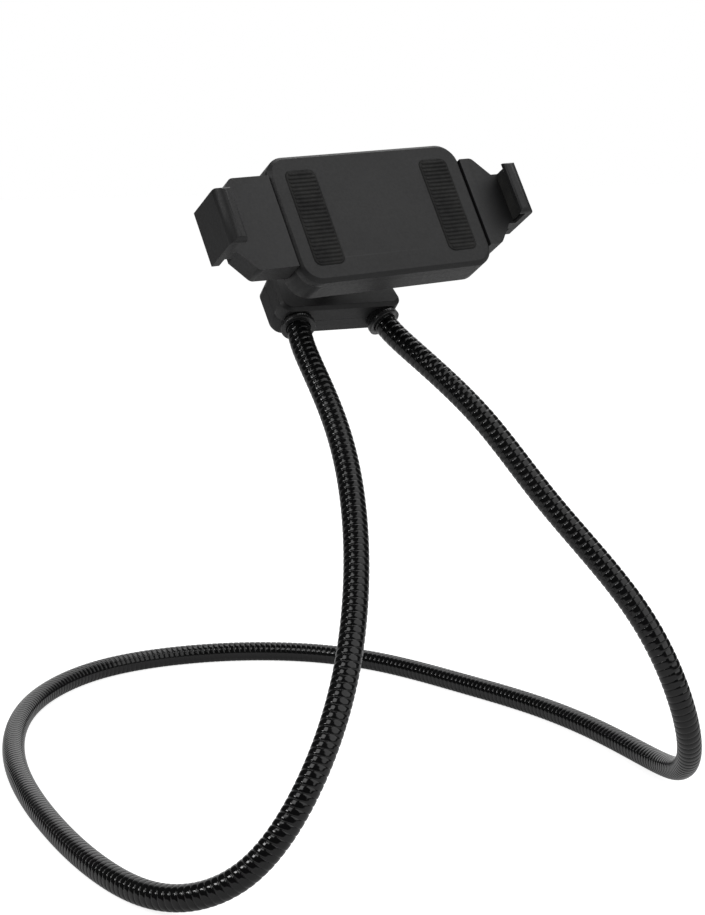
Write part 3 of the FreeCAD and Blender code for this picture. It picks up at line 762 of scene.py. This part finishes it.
def spring_path(low, high):
    """Centre of the wire: a hook round the housing's post, the coil, and a hook round the arm's pin."""
    coil = (high.z - low.z) / 2 - SPRING_WIRE_RADIUS
    y, z = (low.y + high.y) / 2, (low.z + high.z) / 2
    gap = SPRING_WIRE_RADIUS + HOOK_GAP
    post_loop, post_x = POST_RADIUS + gap, high.x + gap + POST_RADIUS
    pin_loop, pin_x = PIN_RADIUS + gap, low.x - gap - PIN_RADIUS
    points = []
    for a in np.linspace(HOOK_START * math.pi, HOOK_END * math.pi, HOOK_STEPS):
        points.append((post_x + post_loop * math.sin(a), y + post_loop * math.cos(a), z))
    start, end = high.x - SPRING_LEAD, low.x + SPRING_LEAD
    turns = round((start - end) / SPRING_COIL_PITCH)
    for share in np.linspace(0, 1, turns * COIL_STEPS + 1):
        a = 2 * math.pi * turns * share
        points.append((start + (end - start) * share, y - coil * math.cos(a), z + coil * math.sin(a)))
    for a in np.linspace((HOOK_END - 1) * math.pi, (HOOK_START - 1) * math.pi, HOOK_STEPS):
        points.append((pin_x + pin_loop * math.sin(a), y, z + pin_loop * math.cos(a)))
    return np.array(points)


def clamp_spring(node):
    """Wound extension spring that stretches as the arm slides out."""
    low, high = local_box(node, CLAMP)
    line = steady_line(spring_path(low, high))
    angles = all_round(WIRE_SIDES)
    rows = [tube_ring(line, np.full(WIRE_SIDES, step), SPRING_WIRE_RADIUS, angles) for step in line[1]]
    name = node.replace("clamp_spring", "wound_spring")
    mesh = faces_out(ring_mesh(name, rows, cap_ends=True))
    mesh.transform(CLAMP)
    piece = finish_piece(name, mesh, None, "plain_steel", node)
    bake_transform(piece)


def rounded_outline(half_width, half_height, radius):
    """Points of a rectangle with round corners, about the origin."""
    outline = []
    for turn, (sx, sy) in enumerate(((1, 1), (-1, 1), (-1, -1), (1, -1))):
        for step in range(PAD_CORNER_STEPS + 1):
            a = (turn + step / PAD_CORNER_STEPS) * math.pi / 2
            x = sx * (half_width - radius) + radius * math.cos(a)
            y = sy * (half_height - radius) + radius * math.sin(a)
            outline.append((x, y))
    return outline


def pad_rib(half_length, y, height):
    """One rounded rib across a pad, its foot just under the pad's face."""
    half = PAD_RIB_PITCH * PAD_RIB_HALF_SHARE
    angles = np.linspace(0, math.pi, PAD_RIB_STEPS)
    section = [(half * math.cos(a), PAD_RIB_HEIGHT * math.sin(a)) for a in angles]
    section += [(-half, -PAD_RIB_FOOT), (half, -PAD_RIB_FOOT)]
    rows = []
    for x, size in PAD_RIB_ENDS:
        rows.append([(half_length * x, y + across * size, height + up * size) for across, up in section])
    return faces_out(ring_mesh("rib", rows, cap_ends=True))


def face_pad(node):
    """Rubber pad with grip ribs across it, shorter where its corners are round."""
    low, high = local_box(node, CLAMP)
    half_width, half_height = (high.x - low.x) / 2, (high.y - low.y) / 2
    face = high.z - PAD_RIB_HEIGHT
    outline = rounded_outline(half_width, half_height, PAD_CORNER)
    inset = rounded_outline(half_width - PAD_EDGE, half_height - PAD_EDGE, PAD_CORNER - PAD_EDGE)
    meshes = [prism("pad", [(outline, low.z), (outline, face - PAD_EDGE), (inset, face)])]
    count = int((2 * half_height - 2 * PAD_MARGIN) / PAD_RIB_PITCH)
    for k in range(count):
        y = (k - (count - 1) / 2) * PAD_RIB_PITCH
        past = max(0.0, abs(y) + PAD_MARGIN - (half_height - PAD_CORNER))
        corner = PAD_CORNER - math.sqrt(max(0.0, PAD_CORNER ** 2 - past ** 2))
        meshes.append(pad_rib(half_width - PAD_MARGIN - corner, y, face))
    name = "ribbed_" + node
    mesh = merged(name, meshes)
    mesh.transform(CLAMP @ Matrix.Translation(((low.x + high.x) / 2, (low.y + high.y) / 2, 0)))
    creased(finish_piece(name, mesh, "clamp", "rubber_pads", node), PAD_EDGE_TURN)


gooseneck_tube()
screw_group("yoke_screws", YOKE, "neck", yoke_screw_spots, yoke_screw)
screw_group("ferrule_grub_screws", YOKE, "neck", grub_screw_spots, grub_screw)
screw_group("clamp_screws", CLAMP, "clamp", clamp_screw_spots, clamp_screw)
for node in ("upper_clamp_spring", "lower_clamp_spring"):
    clamp_spring(node)
for node in ("left_face_pad", "right_face_pad"):
    face_pad(node)

# The other nodes: slot, and width of their rounded edges

for node, slot, rounding_width in (
    ("left_ferrule", "black_ferrule", 0.4),
    ("right_ferrule", "black_ferrule", 0.4),
    ("yoke_rear_shell", "shell_plastic", 0.5),
    ("yoke_front_cover", "shell_plastic", 0.5),
    ("ball_stud", "bright_steel", 0.0),
    ("stud_washer", "plain_steel", 0.1),
    ("stud_nut", "plain_steel", 0.3),
    ("ball_seat", "nylon", 0.2),
    ("lock_nut", "nut_plastic", 0.3),
    ("clamp_rear_shell", "claw_plastic", 0.5),
    ("clamp_front_cover", "claw_plastic", 0.5),
    ("fixed_claw_pad", "rubber_pads", 0.2),
    ("sliding_claw_pad", "rubber_pads", 0.2),
    ("sliding_arm", "claw_plastic", 0.5),
    ("arm_spring_pins", "plain_steel", 0.2),
):
    dress(node, slot, rounding_width)


# Floor, surroundings, lamps and camera


def number(tree, operation, first, second):
    """Result of an operation on two sockets or plain numbers."""
    node = tree.nodes.new("ShaderNodeMath")
    node.operation = operation
    for socket, value in zip(node.inputs, (first, second)):
        if isinstance(value, (int, float)):
            socket.default_value = value
        else:
            tree.links.new(value, socket)
    return node.outputs[0]


def seen_directly(tree, path, strength):
    """A strength for what is seen directly or through something clear."""
    seen = number(tree, "MAXIMUM", path.outputs["Is Camera Ray"], path.outputs["Is Transmission Ray"])
    return number(tree, "MULTIPLY", seen, strength)


def studio_way(azimuth=0.0, elevation=0.0):
    """Direction in the studio, by angles clockwise from its backdrop and up from the floor."""
    heading, rise = math.radians(CAMERA_HEADING + azimuth), math.radians(elevation)
    level = math.cos(rise)
    return Vector((math.sin(heading) * level, math.cos(heading) * level, math.sin(rise)))


def vector_node(tree, operation, source, second=None):
    """Node of vector mathematics on one source."""
    node = tree.nodes.new("ShaderNodeVectorMath")
    node.operation = operation
    tree.links.new(source, node.inputs[0])
    if second is not None:
        node.inputs[1].default_value = second
    return node


def surroundings():
    """White backdrop; soft even light; and for gloss a pale backdrop between the studio's darker sides."""
    world = bpy.data.worlds.new("studio")
    bpy.context.scene.world = world
    world.use_nodes = True
    world.cycles.sampling_method = "NONE"
    tree = world.node_tree
    tree.nodes.clear()
    output = tree.nodes.new("ShaderNodeOutputWorld")
    light = tree.nodes.new("ShaderNodeBackground")
    light.inputs["Color"].default_value = WHITE
    path = tree.nodes.new("ShaderNodeLightPath")
    way = tree.nodes.new("ShaderNodeTexCoord")
    level = vector_node(tree, "MULTIPLY", way.outputs["Generated"], (1, 1, 0))
    heading = vector_node(tree, "NORMALIZE", level.outputs["Vector"])
    facing = vector_node(tree, "DOT_PRODUCT", heading.outputs["Vector"], studio_way())
    gloss = spread(tree, facing.outputs["Value"], SIDE_GLOSS, BACKDROP_GLOSS, *BACKDROP_EDGE)
    more = number(tree, "SUBTRACT", gloss, AMBIENT)
    in_gloss = number(tree, "MULTIPLY", path.outputs["Is Glossy Ray"], more)
    directly = seen_directly(tree, path, 1 - AMBIENT)
    strength = number(tree, "ADD", number(tree, "ADD", in_gloss, directly), AMBIENT)
    tree.links.new(strength, light.inputs["Strength"])
    tree.links.new(light.outputs[0], output.inputs["Surface"])


def floor():
    """Pale floor that turns into the white background and keeps the object's soft shadow."""
    mesh = bpy.data.meshes.new("floor")
    corners = [(x * FLOOR_REACH, y * FLOOR_REACH, 0) for x, y in ((-1, -1), (1, -1), (1, 1), (-1, 1))]
    mesh.from_pydata(corners, [], [(0, 1, 2, 3)])
    piece = in_scene("floor", mesh)
    piece.location.z = -FLOOR_GAP
    material, tree, shader = new_material("pale_floor")
    material.cycles.emission_sampling = "NONE"
    shader.inputs["Base Color"].default_value = (FLOOR_COLOUR, FLOOR_COLOUR, FLOOR_COLOUR, 1)
    shader.inputs["Roughness"].default_value = FLOOR_ROUGHNESS
    shader.inputs["Specular IOR Level"].default_value = 0.0
    glow = tree.nodes.new("ShaderNodeEmission")
    glow.inputs["Color"].default_value = WHITE
    path = tree.nodes.new("ShaderNodeLightPath")
    directly = seen_directly(tree, path, FLOOR_GLOW)
    in_gloss = number(tree, "MULTIPLY", path.outputs["Is Glossy Ray"], FLOOR_GLOW_IN_GLOSS)
    tree.links.new(number(tree, "ADD", directly, in_gloss), glow.inputs["Strength"])
    add = tree.nodes.new("ShaderNodeAddShader")
    tree.links.new(shader.outputs[0], add.inputs[0])
    tree.links.new(glow.outputs[0], add.inputs[1])
    tree.links.new(add.outputs[0], tree.nodes["Material Output"].inputs["Surface"])
    mesh.materials.append(material)


def softbox(name, azimuth, elevation, width, height, brightness):
    """Rectangular lamp that faces the object; brightness is its radiance, where 1 looks white."""
    lamp = bpy.data.lights.new(name, "AREA")
    lamp.shape = "RECTANGLE"
    lamp.size = width
    lamp.size_y = height
    lamp.energy = brightness * math.pi * width * height
    holder = in_scene(name, lamp)
    way = studio_way(azimuth, elevation)
    holder.location = Vector(MIDDLE) + way * LAMP_DISTANCE
    holder.rotation_euler = (-way).to_track_quat("-Z", "Y").to_euler()
    holder.visible_camera = False
    return holder


def camera():
    """The photograph's camera."""
    heading, pitch, roll = (math.radians(a) for a in (CAMERA_HEADING, CAMERA_PITCH, CAMERA_ROLL))
    level = Vector((math.sin(heading), math.cos(heading), 0))
    ahead = level * math.cos(pitch) - Vector((0, 0, math.sin(pitch)))
    right = Vector((math.cos(heading), -math.sin(heading), 0))
    up = right.cross(ahead)
    rolled_right = right * math.cos(roll) - up * math.sin(roll)
    rolled_up = up * math.cos(roll) + right * math.sin(roll)
    data = bpy.data.cameras.new("camera")
    data.sensor_width = SENSOR
    data.lens = FOCAL_PIXELS / PHOTO_HEIGHT * SENSOR
    holder = in_scene("camera", data)
    turn = Matrix((rolled_right, rolled_up, -ahead)).transposed().to_4x4()
    holder.matrix_world = Matrix.Translation(CAMERA_PLACE) @ turn
    bpy.context.scene.camera = holder


surroundings()
floor()
lamps = {name: softbox(name, *values) for name, values in LAMPS.items()}
# In gloss the pale backdrop itself stands for its light
lamps["backdrop_light"].visible_glossy = False
camera()

bpy.context.scene.view_settings.view_transform = "Standard"
